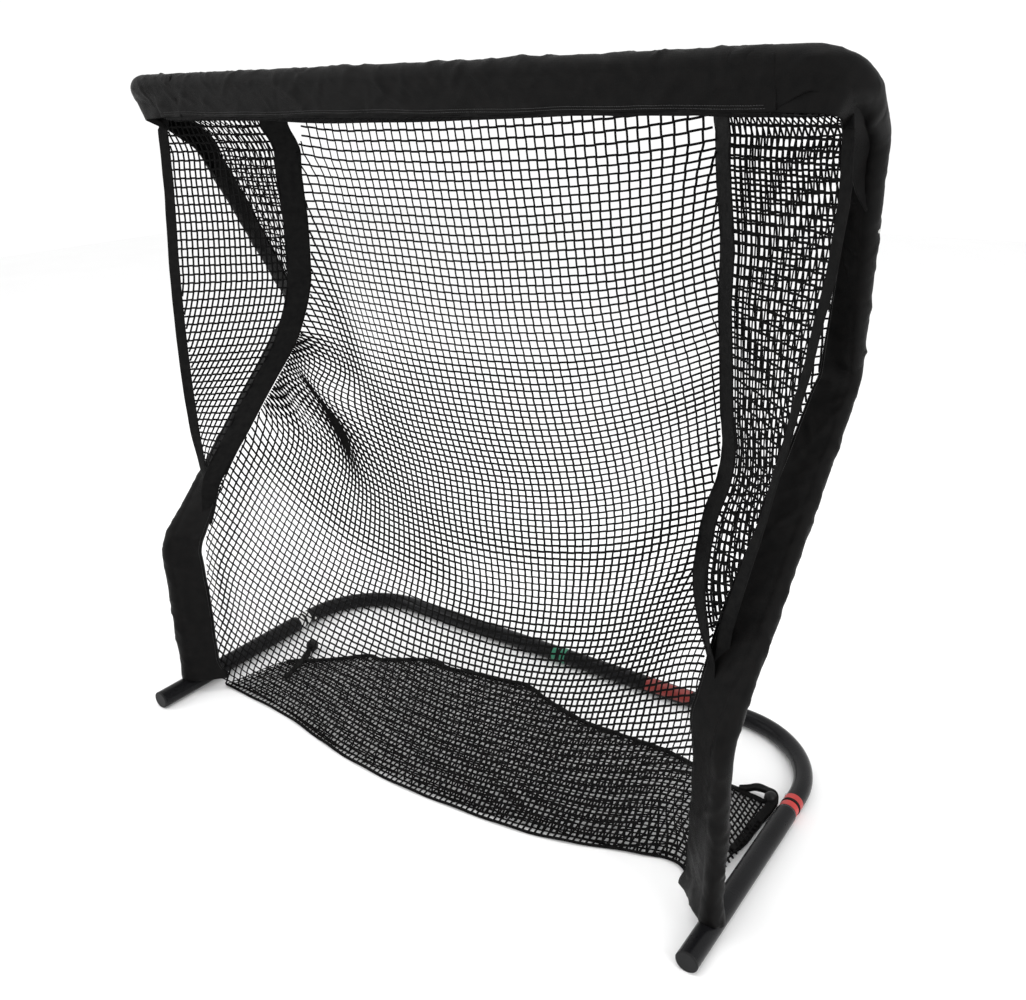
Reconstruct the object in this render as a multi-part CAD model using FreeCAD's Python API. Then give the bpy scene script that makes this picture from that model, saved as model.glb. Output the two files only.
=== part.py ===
import FreeCAD, Part
import math
import os

V = FreeCAD.Vector
os.makedirs("parts", exist_ok=True)

# ---------------------------------------------------------------------------
# Driving dimensions, mm.  +X to the right of the mouth, +Y to the back, +Z up.
# Shapes are drawn with y = 0 at the foot of the uprights and moved by -Y_MID
# when they are written, so the origin is the middle of the footprint.
# ---------------------------------------------------------------------------
LEG_X = 750.0            # centre line of each base leg
LEG_R = 22.25            # 44.5 mm base leg tube
BOW_R = 21.0             # 42 mm tube of the two rear bows
UP_R = 15.9              # 31.8 mm tube of the uprights and the top bar
WALL = 1.6
FIT = 0.15               # gap round a spigot in the tube that takes it
SPIGOT_LEN = 70.0
LEG_SPIGOT = 43.0           # ends where the bow starts to bend
FOOT_Y = -101.8          # front end of the foot plugs
PLUG_FLANGE = 4.0
LEG_JOINT_Y = 397.4      # where leg and bow meet
LEG_GAP = 6.0            # bare spigot showing between the two coloured bands
REAR_Y = 652.7           # centre line of the rear run of the base
BOW_BEND_R = 218.0       # centre-line radius of the two rear corners
BASE_Z = LEG_R           # height of the base centre line
BEND_1 = (LEG_X, 0.0, 427.0)
VERTEX = (LEG_X, 509.0, 942.6)
BEND_3 = (812.0, 303.0, 1387.5)
CORNER = (829.0, 142.0, 1495.6)
R_BEND_1, R_VERTEX, R_BEND_3, R_CORNER = 100.0, 62.0, 80.0, 72.0
STUB_TOP = 135.0         # top of the welded spigot that carries an upright
UPRIGHT_FOOT = 50.0      # lower end of the upright tube
MID_JOINT = 0.45         # place of the joint along bend 1 -> vertex
SHOULDER_JOINT = 0.60    # place of the joint along vertex -> bend 3

BUTTON_R = 4.0
BUTTON_HOLE_R = 4.4
BUTTON_PROUD = 3.5
BUTTON_FLANGE_R = 5.5
BUTTON_IN = 30.0         # from the end of the outer tube to the button

BAND_W = 16.0            # coloured band at a base joint
BAND_T = 0.25

SLEEVE_RI = 16.7
SLEEVE_RO = 19.2
SLEEVE_LOW_RO = 25.0
TOP_SLEEVE_HEM = 67.0    # hem below the centre line of the top bar
TOP_SLEEVE_X = 690.0
HEM_T = 8.0

NET_T = 2.0
NET_HALF = 700.0
# The wing nets hang between a wide tape sewn to the main net and a narrow
# strip that runs straight from the top corner to the lower upright.
# Levels of both centre curves on the right side: z, tape (x, y), strip (x, y).
WING_LEVELS = [
    (1390.0, (547.0, 324.0), (799.0, 202.0)),
    (1250.0, (549.0, 350.0), (800.0, 194.0)),
    (1100.0, (554.0, 354.0), (788.0, 170.0)),
    (950.0, (576.0, 332.0), (768.0, 145.0)),
    (850.0, (607.0, 288.0), (753.0, 131.0)),
    (750.0, (618.0, 198.0), (734.0, 116.0)),
    (660.0, (634.0, 127.0), (716.0, 106.0)),
    (600.0, (657.0, 96.0), (703.0, 102.0)),
]
TAPE_W = 59.0
STRIP_W = 24.0
WEB_T = 2.0
Y_MID = (FOOT_Y + REAR_Y + BOW_R) / 2.0


def unit(v):
    w = V(v)
    w.normalize()
    return w


def path_segments(points, radii):
    """Straight runs and tangent arcs through points, one radius per corner."""
    pts = [V(*p) if not isinstance(p, FreeCAD.Vector) else V(p) for p in points]
    segs = []
    start = pts[0]
    for i in range(1, len(pts) - 1):
        a, b, c = pts[i - 1], pts[i], pts[i + 1]
        u, v = unit(a - b), unit(c - b)
        ang = math.acos(max(-1.0, min(1.0, u.dot(v))))
        t = radii[i - 1] / math.tan(ang / 2.0)
        p1, p2 = b + u * t, b + v * t
        m = unit(u + v)
        centre = b + m * math.hypot(t, radii[i - 1])
        axis = unit((b - a).cross(c - b))
        segs.append(("L", start, p1))
        segs.append(("A", centre, axis, p1, unit(b - a), math.degrees(math.pi - ang)))
        start = p2
    segs.append(("L", start, pts[-1]))
    return segs


def rod(segs, r, ext=0.0):
    """Solid round bar along the segments, lengthened by ext at both ends."""
    out = []
    n = len(segs)
    for i, s in enumerate(segs):
        if s[0] == "L":
            p, q = V(s[1]), V(s[2])
            d = unit(q - p)
            if i == 0:
                p = p - d * ext
            if i == n - 1:
                q = q + d * ext
            out.append(Part.makeCylinder(r, (q - p).Length, p, d))
        else:
            _, centre, axis, p1, tangent, deg = s
            disc = Part.Face(Part.Wire(Part.makeCircle(r, p1, tangent)))
            out.append(disc.revolve(centre, axis, deg))
    shape = out[0]
    if len(out) > 1:
        shape = out[0].multiFuse(out[1:]).removeSplitter()
    return shape.Solids[0] if len(shape.Solids) == 1 else shape


def tube(segs, ro, ri):
    return rod(segs, ro).cut(rod(segs, ri, 2.0))


def one(shape):
    if len(shape.Solids) != 1:
        raise RuntimeError("expected one solid, got %d" % len(shape.Solids))
    return shape.Solids[0]


def spigot_r(r):
    return r - WALL - FIT


def add_spigot(body, end, direction, r):
    """Reduced end that enters the next tube; end is the shoulder's centre."""
    d = unit(direction)
    plug = Part.makeCylinder(r - WALL + 0.4, 6.0, end - d * 6.0, d)
    neck = Part.makeCylinder(spigot_r(r), SPIGOT_LEN + 1.0, end - d * 1.0, d)
    body = body.fuse(plug).fuse(neck)
    bore = Part.makeCylinder(spigot_r(r) - WALL, SPIGOT_LEN + 12.0, end - d * 8.0, d)
    return body.cut(bore).removeSplitter()


def radial_hole(body, at, n):
    return body.cut(Part.makeCylinder(BUTTON_HOLE_R, 40.0, at, unit(n)))


NODES = {}


def put(name, shape):
    s = shape.copy()
    s.translate(V(0, -Y_MID, 0))
    NODES[name] = s


def put_pair(name, right):
    """Right piece as drawn, left piece as its mirror image."""
    put(name + "_right", right)
    put(name + "_left", right.mirror(V(0, 0, 0), V(1, 0, 0)))


def flange_top(r):
    """Height of the button's flange under the bore of the spigot."""
    bore = spigot_r(r) - WALL
    return math.sqrt(bore * bore - BUTTON_FLANGE_R ** 2) - 0.3


def snap_button(at, n, r):
    """Domed pin with an inner flange; at is on the tube's centre line."""
    n = unit(n)
    top = r + BUTTON_PROUD
    low = flange_top(r) - 1.6
    pin = Part.makeCylinder(BUTTON_R, top - low, at + n * low, n)
    pin = pin.makeFillet(1.6, [e for e in pin.Edges
                               if (e.CenterOfMass - (at + n * top)).Length < 0.1
                               and e.Closed])
    flange = Part.makeCylinder(BUTTON_FLANGE_R, 1.6, at + n * low, n)
    return one(pin.fuse(flange).removeSplitter())


def spring_clip(at, n, d, r):
    """Bent leaf spring behind a button: one leg under it, one on the far wall."""
    n, d = unit(n), unit(d)
    half = 3.5
    hi = flange_top(r) - 1.6 - 0.3
    lo = -math.sqrt((spigot_r(r) - WALL) ** 2 - half ** 2) + 0.3
    w = unit(n.cross(d))
    outline = [(-10, hi), (11, hi), (36, 1.6), (39, 0.6), (39, -0.6),
               (36, -1.6), (-10, lo), (-10, lo + 0.8), (35.4, -0.8),
               (37.9, -0.2), (37.9, 0.2), (35.4, 0.8), (10.8, hi - 0.8), (-10, hi - 0.8)]
    pts = [at + d * a + n * b - w * half for a, b in outline]
    pts.append(pts[0])
    face = Part.Face(Part.makePolygon(pts))
    return one(face.extrude(w * (2 * half)))


def web(rows_a, rows_b, offset):
    """Thin closed strip between two edge curves, made of flat triangles."""
    off = V(*offset)
    loops = []
    for p, q in zip(rows_a, rows_b):
        p, q = V(*p), V(*q)
        loops.append([p, q, q + off, p + off])
    tris = []

    def quad(a, b, c, d):
        tris.append((a, b, c))
        tris.append((a, c, d))

    for lo, hi in zip(loops[:-1], loops[1:]):
        for i in range(4):
            j = (i + 1) % 4
            quad(lo[i], lo[j], hi[j], hi[i])
    quad(*loops[0][::-1])
    quad(*loops[-1])
    faces = [Part.Face(Part.makePolygon([a, b, c, a])) for a, b, c in tris]
    solid = Part.Solid(Part.makeShell(faces))
    if solid.Volume < 0:
        solid.reverse()
    return one(solid)


def ribbon(profile, half_t):
    """Closed outline of a bent strip in the y-z plane, half_t each side."""
    left, right = [], []
    for i, (y, z) in enumerate(profile):
        if i == 0:
            d = (profile[1][0] - y, profile[1][1] - z)
        elif i == len(profile) - 1:
            d = (y - profile[i - 1][0], z - profile[i - 1][1])
        else:
            d = (profile[i + 1][0] - profile[i - 1][0], profile[i + 1][1] - profile[i - 1][1])
        k = math.hypot(*d)
        nx, nz = -d[1] / k * half_t, d[0] / k * half_t
        left.append((y + nx, z + nz))
        right.append((y - nx, z - nz))
    return left + right[::-1]


def lerp(a, b, t):
    return V(*a) + (V(*b) - V(*a)) * t


# ---------------------------------------------------------------------------
# Base: two legs, two rear bows
# ---------------------------------------------------------------------------
leg_tube_end = LEG_JOINT_Y - LEG_GAP / 2.0 - 24.0
leg_axis = V(0, 1, 0)
leg_front = V(LEG_X, FOOT_Y + PLUG_FLANGE, BASE_Z)
leg = Part.makeCylinder(LEG_R, leg_tube_end - leg_front.y, leg_front, leg_axis)
cone = Part.makeCone(LEG_R, BOW_R - 0.6, 6.0, V(LEG_X, leg_tube_end, BASE_Z), leg_axis)
neck = Part.makeCylinder(BOW_R - 0.6, 18.0, V(LEG_X, leg_tube_end + 6.0, BASE_Z), leg_axis)
leg = leg.fuse(cone).fuse(neck)
leg = leg.cut(Part.makeCylinder(LEG_R - WALL, leg_tube_end - leg_front.y + 1.0 - 4.0,
                                leg_front - leg_axis * 1.0, leg_axis))
leg_shoulder = V(LEG_X, leg_tube_end + 24.0, BASE_Z)
leg = leg.fuse(Part.makeCylinder(spigot_r(BOW_R), LEG_SPIGOT + 1.0, leg_shoulder - leg_axis, leg_axis))
leg = leg.cut(Part.makeCylinder(spigot_r(BOW_R) - WALL, SPIGOT_LEN + 60.0,
                                leg_shoulder - leg_axis * 50.0, leg_axis)).removeSplitter()

bow_start = V(LEG_X, LEG_JOINT_Y + LEG_GAP / 2.0, BASE_Z)
bow_pts = [bow_start, V(LEG_X, REAR_Y, BASE_Z), V(0.0, REAR_Y, BASE_Z)]


def bow(end_x):
    pts = [bow_pts[0], bow_pts[1], V(end_x, REAR_Y, BASE_Z)]
    return tube(path_segments(pts, [BOW_BEND_R]), BOW_R, BOW_R - WALL)


bow_right = bow(0.5)                                   # female end at the centre
bow_left = bow(0.5).mirror(V(0, 0, 0), V(1, 0, 0))
bow_left = add_spigot(bow_left, V(-0.5, REAR_Y, BASE_Z), V(1, 0, 0), BOW_R)

# ---------------------------------------------------------------------------
# Uprights and top bar
# ---------------------------------------------------------------------------
foot_pt = (LEG_X, 0.0, UPRIGHT_FOOT)
mid_pt = lerp(BEND_1, VERTEX, MID_JOINT)
mid_dir = unit(V(*VERTEX) - V(*BEND_1))
sho_pt = lerp(VERTEX, BEND_3, SHOULDER_JOINT)
sho_dir = unit(V(*BEND_3) - V(*VERTEX))

lower = tube(path_segments([foot_pt, BEND_1, mid_pt], [R_BEND_1]), UP_R, UP_R - WALL)
up_start = mid_pt + mid_dir * 1.0
upper = tube(path_segments([up_start, VERTEX, sho_pt], [R_VERTEX]), UP_R, UP_R - WALL)
upper = add_spigot(upper, up_start, mid_dir * -1.0, UP_R)
upper = add_spigot(upper, sho_pt, sho_dir, UP_R)
top_start = sho_pt + sho_dir * 1.0


def top_half(end_x):
    pts = [top_start, BEND_3, CORNER, V(end_x, CORNER[1], CORNER[2])]
    return tube(path_segments(pts, [R_BEND_3, R_CORNER]), UP_R, UP_R - WALL)


top_right = top_half(0.5)
top_left = top_half(0.5).mirror(V(0, 0, 0), V(1, 0, 0))
top_left = add_spigot(top_left, V(-0.5, CORNER[1], CORNER[2]), V(1, 0, 0), UP_R)

stub = Part.makeCylinder(spigot_r(UP_R), STUB_TOP - 30.0, V(LEG_X, 0, 30.0), V(0, 0, 1))
stub = stub.cut(Part.makeCylinder(spigot_r(UP_R) - WALL, STUB_TOP, V(LEG_X, 0, 20.0), V(0, 0, 1)))
stub = stub.cut(Part.makeCylinder(LEG_R, 120.0, V(LEG_X, -60.0, BASE_Z), V(0, 1, 0)))

# ---------------------------------------------------------------------------
# Snap buttons: place, outward direction, axis from the open end inwards
# ---------------------------------------------------------------------------
leg_btn = V(LEG_X, LEG_JOINT_Y + LEG_GAP / 2.0 + BUTTON_IN, BASE_Z)
rear_btn = V(0.5 + BUTTON_IN, REAR_Y, BASE_Z)
foot_btn = V(LEG_X, 0.0, UPRIGHT_FOOT + BUTTON_IN)
mid_btn = mid_pt - mid_dir * BUTTON_IN
sho_btn = sho_pt + sho_dir * (1.0 + BUTTON_IN)
top_btn = V(0.5 + BUTTON_IN, CORNER[1], CORNER[2])
n_mid = unit(V(0, mid_dir.z, -mid_dir.y))
n_sho = unit(V(1, 0, 0) - sho_dir * sho_dir.x)

leg = radial_hole(leg, leg_btn, V(-1, 0, 0))
bow_right = radial_hole(bow_right, leg_btn, V(-1, 0, 0))
leg_btn_l = V(-leg_btn.x, leg_btn.y, leg_btn.z)
bow_left = radial_hole(bow_left, leg_btn_l, V(1, 0, 0))
bow_right = radial_hole(bow_right, rear_btn, V(0, 1, 0))
bow_left = radial_hole(bow_left, rear_btn, V(0, 1, 0))
stub = radial_hole(stub, foot_btn, V(0, -1, 0))
lower = radial_hole(lower, foot_btn, V(0, -1, 0))
lower = radial_hole(lower, mid_btn, n_mid)
upper = radial_hole(upper, mid_btn, n_mid)
upper = radial_hole(upper, sho_btn, n_sho)
top_right = radial_hole(top_right, sho_btn, n_sho)
sho_btn_l = V(-sho_btn.x, sho_btn.y, sho_btn.z)
top_left = radial_hole(top_left, sho_btn_l, V(-n_sho.x, n_sho.y, n_sho.z))
top_right = radial_hole(top_right, top_btn, V(0, 1, 0))
top_left = radial_hole(top_left, top_btn, V(0, 1, 0))

put_pair("base_leg", one(leg))
put("rear_bow_right", one(bow_right))
put("rear_bow_left", one(bow_left))
put_pair("upright_stub", one(stub))
put_pair("lower_upright", one(lower))
put_pair("upper_upright", one(upper))
put("top_bar_right", one(top_right))
put("top_bar_left", one(top_left))

put_pair("snap_button_leg", snap_button(leg_btn, V(-1, 0, 0), BOW_R))
put_pair("spring_clip_leg", spring_clip(leg_btn, V(-1, 0, 0), V(0, -1, 0), BOW_R))
put("snap_button_rear", snap_button(rear_btn, V(0, 1, 0), BOW_R))
put("spring_clip_rear", spring_clip(rear_btn, V(0, 1, 0), V(-1, 0, 0), BOW_R))
put_pair("snap_button_foot", snap_button(foot_btn, V(0, -1, 0), UP_R))
put_pair("spring_clip_foot", spring_clip(foot_btn, V(0, -1, 0), V(0, 0, 1), UP_R))
put_pair("snap_button_mid", snap_button(mid_btn, n_mid, UP_R))
put_pair("spring_clip_mid", spring_clip(mid_btn, n_mid, mid_dir, UP_R))
put_pair("snap_button_shoulder", snap_button(sho_btn, n_sho, UP_R))
put_pair("spring_clip_shoulder", spring_clip(sho_btn, n_sho, sho_dir * -1.0, UP_R))
put("snap_button_top", snap_button(top_btn, V(0, 1, 0), UP_R))
put("spring_clip_top", spring_clip(top_btn, V(0, 1, 0), V(-1, 0, 0), UP_R))

# ---------------------------------------------------------------------------
# Foot plugs, coloured bands, blank label
# ---------------------------------------------------------------------------
plug = Part.makeCylinder(LEG_R, PLUG_FLANGE - 1.8, V(LEG_X, FOOT_Y + 1.8, BASE_Z), V(0, 1, 0))
plug = plug.fuse(Part.makeCone(LEG_R - 2.0, LEG_R, 1.8, V(LEG_X, FOOT_Y, BASE_Z), V(0, 1, 0)))
plug = plug.fuse(Part.makeCylinder(LEG_R - WALL - FIT, 16.0,
                                   V(LEG_X, FOOT_Y + PLUG_FLANGE - 0.5, BASE_Z), V(0, 1, 0)))
plug = plug.cut(Part.makeCylinder(LEG_R - WALL - FIT - 2.2, 20.0,
                                  V(LEG_X, FOOT_Y + PLUG_FLANGE, BASE_Z), V(0, 1, 0))).removeSplitter()
put_pair("foot_plug", one(plug))


def band(at, d, r):
    d = unit(d)
    return one(Part.makeCylinder(r + BAND_T, BAND_W, at, d).cut(Part.makeCylinder(r, BAND_W + 2, at - d, d)))


put_pair("band_bow", band(V(LEG_X, LEG_JOINT_Y + LEG_GAP / 2.0 + 1.0, BASE_Z), V(0, 1, 0), BOW_R))
put_pair("band_leg", band(V(LEG_X, LEG_JOINT_Y - LEG_GAP / 2.0 - 17.0, BASE_Z), V(0, 1, 0), BOW_R - 0.6))
put("band_rear_right", band(V(4.5, REAR_Y, BASE_Z), V(1, 0, 0), BOW_R))
put("band_rear_left", band(V(-4.5, REAR_Y, BASE_Z), V(-1, 0, 0), BOW_R))

label = Part.makeCylinder(BOW_R + 0.3, 130.0, V(265.0, REAR_Y, BASE_Z), V(1, 0, 0))
label = label.cut(Part.makeCylinder(BOW_R, 140.0, V(260.0, REAR_Y, BASE_Z), V(1, 0, 0)))
label = label.common(Part.makeBox(140.0, 60.0, 30.0, V(260.0, REAR_Y - 30.0, BASE_Z - 4.0)))
label = label.common(Part.makeBox(140.0, 33.0, 60.0, V(260.0, REAR_Y - 30.0, BASE_Z - 10.0)))
put("blank_label", one(label))

# ---------------------------------------------------------------------------
# Sleeves
# ---------------------------------------------------------------------------
sleeve = Part.makeCylinder(SLEEVE_RO, 2 * TOP_SLEEVE_X, V(-TOP_SLEEVE_X, CORNER[1], CORNER[2]), V(1, 0, 0))
sleeve = sleeve.fuse(Part.makeBox(2 * TOP_SLEEVE_X, HEM_T, TOP_SLEEVE_HEM,
                                  V(-TOP_SLEEVE_X, CORNER[1] - HEM_T / 2.0, CORNER[2] - TOP_SLEEVE_HEM)))
sleeve = sleeve.fuse(Part.makeCylinder(9.0, UP_R + 7.5, top_btn, V(0, 1, 0)))
sleeve = sleeve.cut(Part.makeCylinder(SLEEVE_RI, 2 * TOP_SLEEVE_X + 4, V(-TOP_SLEEVE_X - 2, CORNER[1], CORNER[2]), V(1, 0, 0)))
sleeve = sleeve.cut(Part.makeCylinder(7.0, UP_R + 4.6, top_btn, V(0, 1, 0))).removeSplitter()
put("top_sleeve", one(sleeve))

sl_pts = [V(LEG_X, 0, 56.0), BEND_1, VERTEX, BEND_3, CORNER, V(TOP_SLEEVE_X + 4.0, CORNER[1], CORNER[2])]
sl_rad = [R_BEND_1, R_VERTEX, R_BEND_3, R_CORNER]
sl_segs = path_segments(sl_pts, sl_rad)
low_segs = path_segments([V(LEG_X, 0, 56.0), BEND_1, lerp(BEND_1, VERTEX, 0.7)], [R_BEND_1])
side = rod(sl_segs, SLEEVE_RO).fuse(rod(low_segs, SLEEVE_LOW_RO))
side = side.fuse(Part.makeCylinder(9.0, UP_R + 7.5, sho_btn, n_sho))
side = side.cut(rod(sl_segs, SLEEVE_RI, 2.0))
for p, n in ((foot_btn, V(0, -1, 0)), (mid_btn, n_mid), (sho_btn, n_sho)):
    side = side.cut(Part.makeCylinder(7.0, UP_R + 4.6, p, n))
put_pair("side_sleeve", one(side.removeSplitter()))

# ---------------------------------------------------------------------------
# Nets, bindings and ties (plain solids of the soft parts)
# ---------------------------------------------------------------------------
prof = [(144.0, 1426.2), (352.0, 1422.0), (370.0, 1406.0), (392.0, 1270.0), (412.0, 1172.0), (446.0, 1075.0),
        (485.0, 978.0), (518.0, 880.0), (522.0, 805.0), (470.0, 735.0), (395.0, 685.0), (300.0, 640.0),
        (212.0, 585.0), (165.0, 480.0), (95.0, 250.0), (24.0, 8.0)]
outline = ribbon(prof, NET_T / 2.0)
face = Part.Face(Part.makePolygon([V(-NET_HALF, y, z) for y, z in outline] + [V(-NET_HALF, *outline[0])]))
put("main_net", one(face.extrude(V(2 * NET_HALF, 0, 0))))

floor_xy = [(-680, 60), (-430, 52), (-180, 44), (60, 44), (300, 60), (480, 92), (600, 108), (690, 60),
            (700, 392), (600, 404), (470, 424), (350, 430), (180, 430), (0, 466), (-150, 458), (-310, 436),
            (-460, 366), (-590, 290)]
face = Part.Face(Part.makePolygon([V(x, y, 0.0) for x, y in floor_xy + [floor_xy[0]]]))
put("floor_net", one(face.extrude(V(0, 0, 3.0))))

bind_xy = [(-590, 290), (-460, 366), (-310, 436), (-150, 458), (0, 466), (180, 430), (350, 430),
           (470, 424), (600, 404), (700, 392)]
upper_edge = [(x, y + 12.0) for x, y in bind_xy]
lower_edge = [(x, y + 1.0) for x, y in bind_xy]
ring = lower_edge + upper_edge[::-1]
face = Part.Face(Part.makePolygon([V(x, y, 0.0) for x, y in ring + [ring[0]]]))
put("floor_net_binding", one(face.extrude(V(0, 0, 6.0))))

ca, sa = math.cos(math.radians(42.0)), math.sin(math.radians(42.0))
tape_a = [(x + TAPE_W / 2 * ca, y - TAPE_W / 2 * sa, z) for z, (x, y), q in WING_LEVELS]
tape_b = [(x - TAPE_W / 2 * ca, y + TAPE_W / 2 * sa, z) for z, (x, y), q in WING_LEVELS]
put_pair("wing_tape", web(tape_a[:-1], tape_b[:-1], (WEB_T * sa, WEB_T * ca, 0)))

strip_in, strip_out = [], []
for z, (tx, ty), (x, y) in WING_LEVELS:
    u = unit(V(tx - x, ty - y, 0))
    strip_in.append((x + u.x * STRIP_W / 2, y + u.y * STRIP_W / 2, z))
    strip_out.append((x - u.x * STRIP_W / 2, y - u.y * STRIP_W / 2, z))
put_pair("wing_strip", web(strip_out[:-1], strip_in[:-1], (WEB_T * sa, WEB_T * ca, 0)))

wing_a, wing_b = [], []
for p, q in list(zip(strip_in, tape_a))[:-2]:
    p, q = V(*p), V(*q)
    u = unit(q - p)
    wing_a.append(tuple(p + u * 1.0))
    wing_b.append(tuple(q - u * 1.0))
off = V(WEB_T * sa, WEB_T * ca, 0)
sections = []
for p, q in zip(wing_a, wing_b):
    p, q = V(*p), V(*q)
    sections.append(Part.makePolygon([p, q, q + off, p + off, p]))
put_pair("wing_net", one(Part.makeLoft(sections, True, True)))

BALL_R = 17.0
ball_l = V(-626.0, 318.0, BALL_R)
ball_r = V(LEG_X - 44.0, LEG_JOINT_Y, 26.0)
for nm, c, ax, rad in (("left", ball_l, V(0.8, -0.6, 0), BALL_R), ("right", ball_r, V(1, 0, 0), 15.0)):
    # half section turned about the axis of the hole
    half = math.sqrt(rad * rad - 3.2 * 3.2)
    arc = Part.Arc(V(3.2, 0, half), V(rad, 0, 0), V(3.2, 0, -half)).toShape()
    line = Part.LineSegment(V(3.2, 0, -half), V(3.2, 0, half)).toShape()
    b = Part.Face(Part.Wire([arc, line])).revolve(V(0, 0, 0), V(0, 0, 1), 360)
    b.Placement = FreeCAD.Placement(c, FreeCAD.Rotation(V(0, 0, 1), unit(ax)))
    put("tie_ball_" + nm, one(b))
loop = Part.makeCylinder(spigot_r(BOW_R) + 2.4, 4.6, V(LEG_X, LEG_JOINT_Y - 2.3, BASE_Z), V(0, 1, 0))
loop = loop.cut(Part.makeCylinder(spigot_r(BOW_R) + 0.1, 8.0, V(LEG_X, LEG_JOINT_Y - 4.0, BASE_Z), V(0, 1, 0)))
put("tie_loop_right", one(loop))
ax = unit(V(0.8, -0.6, 0))
put("tie_loop_left", one(Part.makeCylinder(2.6, 44.0, ball_l - ax * 20.0, ax)))

for name in sorted(NODES):
    shape = NODES[name]
    if len(shape.Solids) != 1 or not shape.isValid():
        print("CHECK", name, len(shape.Solids), shape.isValid())
    shape.exportStep("parts/%s.step" % name)
    bb = shape.BoundBox
    print("%-28s vol %10.0f  x %7.1f %7.1f  y %7.1f %7.1f  z %7.1f %7.1f" % (
        name, shape.Volume, bb.XMin, bb.XMax, bb.YMin, bb.YMax, bb.ZMin, bb.ZMax))
print(len(NODES), "nodes")
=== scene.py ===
import math

import bpy
import numpy as np
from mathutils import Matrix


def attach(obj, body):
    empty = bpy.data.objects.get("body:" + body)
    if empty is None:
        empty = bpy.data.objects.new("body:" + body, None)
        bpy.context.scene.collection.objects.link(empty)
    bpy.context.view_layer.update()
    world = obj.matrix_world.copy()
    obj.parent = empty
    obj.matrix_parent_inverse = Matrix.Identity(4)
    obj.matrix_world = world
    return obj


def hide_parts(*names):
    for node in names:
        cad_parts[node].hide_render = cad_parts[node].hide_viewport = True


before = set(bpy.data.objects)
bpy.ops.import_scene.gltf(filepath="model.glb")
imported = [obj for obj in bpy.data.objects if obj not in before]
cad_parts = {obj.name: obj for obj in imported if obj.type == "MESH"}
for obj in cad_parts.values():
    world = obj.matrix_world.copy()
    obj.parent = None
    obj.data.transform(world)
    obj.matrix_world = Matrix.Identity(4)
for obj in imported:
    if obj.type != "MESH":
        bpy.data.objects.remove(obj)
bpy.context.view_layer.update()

# Points below are in millimetres with y = 0 at the feet of the uprights; the frame's own origin lies Y_MID further back.
Y_MID = 285.95


def mm(p):
    a = np.asarray(p, float)
    return np.stack([a[..., 0], a[..., 1] - Y_MID, a[..., 2]], -1) / 1000.0


def unit(v):
    v = np.asarray(v, float)
    return v / np.maximum(np.linalg.norm(v, axis=-1, keepdims=True), 1e-9)


def smooth01(t):
    t = np.clip(t, 0.0, 1.0)
    return t * t * (3 - 2 * t)


# ---------------------------------------------------------------------------
# Camera, lights, floor
# ---------------------------------------------------------------------------
def add_camera():
    yaw, pitch, roll = 0.6283, 0.3919, -0.0276
    fwd = np.array([-math.sin(yaw) * math.cos(pitch), math.cos(yaw) * math.cos(pitch), -math.sin(pitch)])
    right = np.array([math.cos(yaw), math.sin(yaw), 0.0])
    up = np.cross(right, fwd)
    r2 = math.cos(roll) * right + math.sin(roll) * up
    u2 = -math.sin(roll) * right + math.cos(roll) * up
    cam = bpy.data.cameras.new("camera")
    cam.lens = 35.032
    cam.sensor_width = 36.0
    cam.sensor_fit = "HORIZONTAL"
    cam.clip_start = 0.05
    cam.clip_end = 60.0
    ob = bpy.data.objects.new("camera", cam)
    bpy.context.scene.collection.objects.link(ob)
    from mathutils import Matrix

    m = Matrix.Identity(4)
    for k in range(3):
        m[k][0], m[k][1], m[k][2] = r2[k], u2[k], -fwd[k]
    m[0][3], m[1][3], m[2][3] = 1.2974, -1.6258, 1.4685
    ob.matrix_world = m
    bpy.context.scene.camera = ob


def area_light(name, at, target, size, power, color=(1, 1, 1)):
    from mathutils import Vector

    li = bpy.data.lights.new(name, "AREA")
    li.shape = "RECTANGLE"
    li.size, li.size_y = size
    li.energy = power
    li.color = color
    ob = bpy.data.objects.new(name, li)
    bpy.context.scene.collection.objects.link(ob)
    ob.location = at
    ob.rotation_euler = (Vector(target) - Vector(at)).to_track_quat("-Z", "Y").to_euler()


add_camera()
area_light("softbox_top", (0.2, -0.4, 4.2), (0, 0.1, 0.2), (3.0, 2.4), 60)
area_light("softbox_left", (-3.4, -2.2, 2.6), (0, 0, 0.6), (2.0, 2.6), 46)
area_light("softbox_right", (3.6, -1.6, 2.2), (0.3, 0, 0.6), (1.4, 2.4), 40)
world = bpy.data.worlds.new("studio")
bpy.context.scene.world = world
world.use_nodes = True
world.node_tree.nodes["Background"].inputs[0].default_value = (1, 1, 1, 1)
world.node_tree.nodes["Background"].inputs[1].default_value = 1.05
bpy.context.scene.view_settings.view_transform = "Standard"


# ---------------------------------------------------------------------------
# Materials
# ---------------------------------------------------------------------------
def material(name, color, rough, metallic=0.0, sheen=0.0, coat=0.0, spec=0.5):
    m = bpy.data.materials.new(name)
    m.use_nodes = True
    nt = m.node_tree
    b = nt.nodes["Principled BSDF"]
    b.inputs["Base Color"].default_value = (*color, 1)
    b.inputs["Roughness"].default_value = rough
    b.inputs["Metallic"].default_value = metallic
    b.inputs["Sheen Weight"].default_value = sheen
    b.inputs["Coat Weight"].default_value = coat
    b.inputs["Specular IOR Level"].default_value = spec
    co = nt.nodes.new("ShaderNodeTexCoord")
    return m, nt, b, co


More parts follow.
